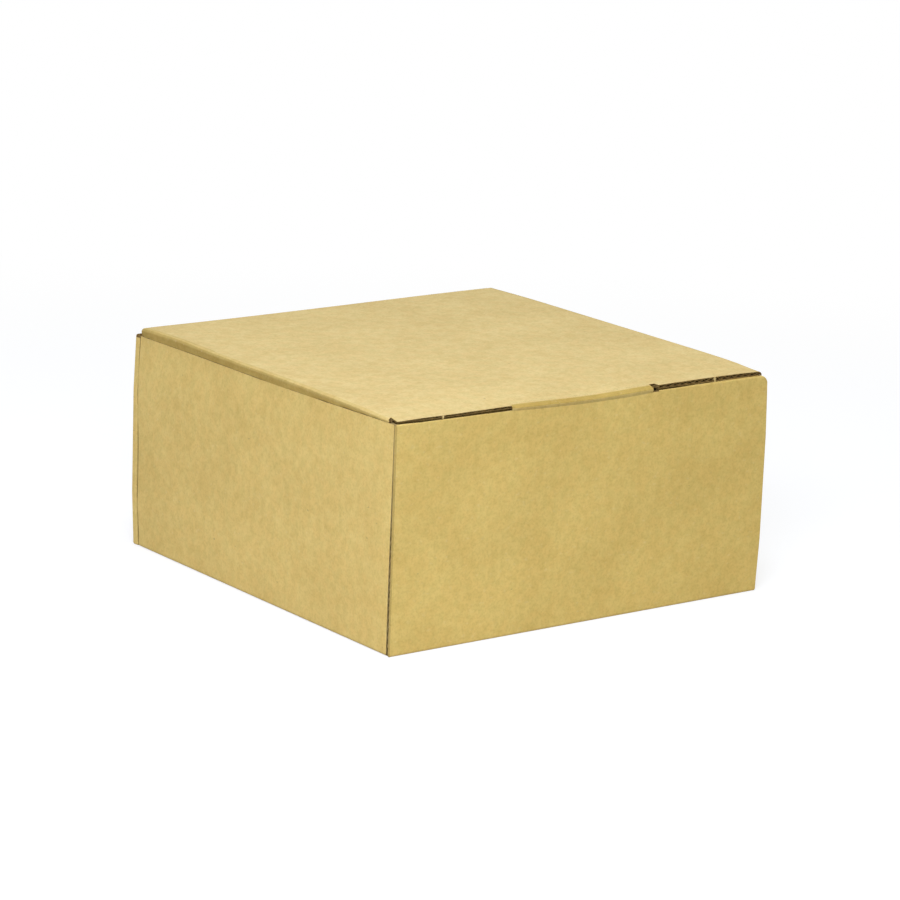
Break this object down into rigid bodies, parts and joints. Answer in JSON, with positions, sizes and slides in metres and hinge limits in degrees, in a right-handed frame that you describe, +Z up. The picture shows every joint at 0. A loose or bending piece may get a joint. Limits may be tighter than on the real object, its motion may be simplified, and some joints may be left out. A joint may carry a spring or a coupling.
{
  "type": "corrugated mailer box",
  "caption": "Square corrugated kraft mailer box with single glued-corner walls, and a flat lid that is hinged on the rear wall and tucks in on three sides with two wings and a tuck flap.",
  "frame": {"origin": "centre of the box's underside, on the surface it stands on", "axes": "+Z up, -Y towards the front wall that the tuck flap slips behind, +Y towards the rear wall that carries the lid, +X towards the right side wall"},
  "size_m": [0.158, 0.158, 0.0794],
  "materials": {
    "kraft_outer": "matte unprinted brown kraft liner, outer side of the corrugated sheet",
    "kraft_inner": "matte unprinted brown kraft liner, inner side of the corrugated sheet"
  },
  "bodies": {
    "carton": {"base_panel": "kraft_inner", "front_wall": "kraft_outer", "rear_wall": "kraft_outer", "lid_crease": "kraft_outer", "left_side_wall": "kraft_outer", "right_side_wall": "kraft_outer", "front_left_corner_flap": "kraft_inner", "front_right_corner_flap": "kraft_inner", "rear_left_corner_flap": "kraft_inner", "rear_right_corner_flap": "kraft_inner"},
    "lid": {"lid_panel": "kraft_outer", "left_lid_wing": "kraft_outer", "right_lid_wing": "kraft_outer"},
    "flap": {"tuck_flap": "kraft_outer"}
  },
  "joints": [
    {"name": "lid_hinge", "type": "hinge", "parent": "carton", "child": "lid", "pos_m": [0, 0.07915, 0.07765], "axis": [-1, 0, 0], "range_deg": [0, 180]},
    {"name": "tuck_flap_hinge", "type": "hinge", "parent": "lid", "child": "flap", "pos_m": [0, -0.0763, 0.0767], "axis": [1, 0, 0], "range_deg": [-9, 75]}
  ]
}
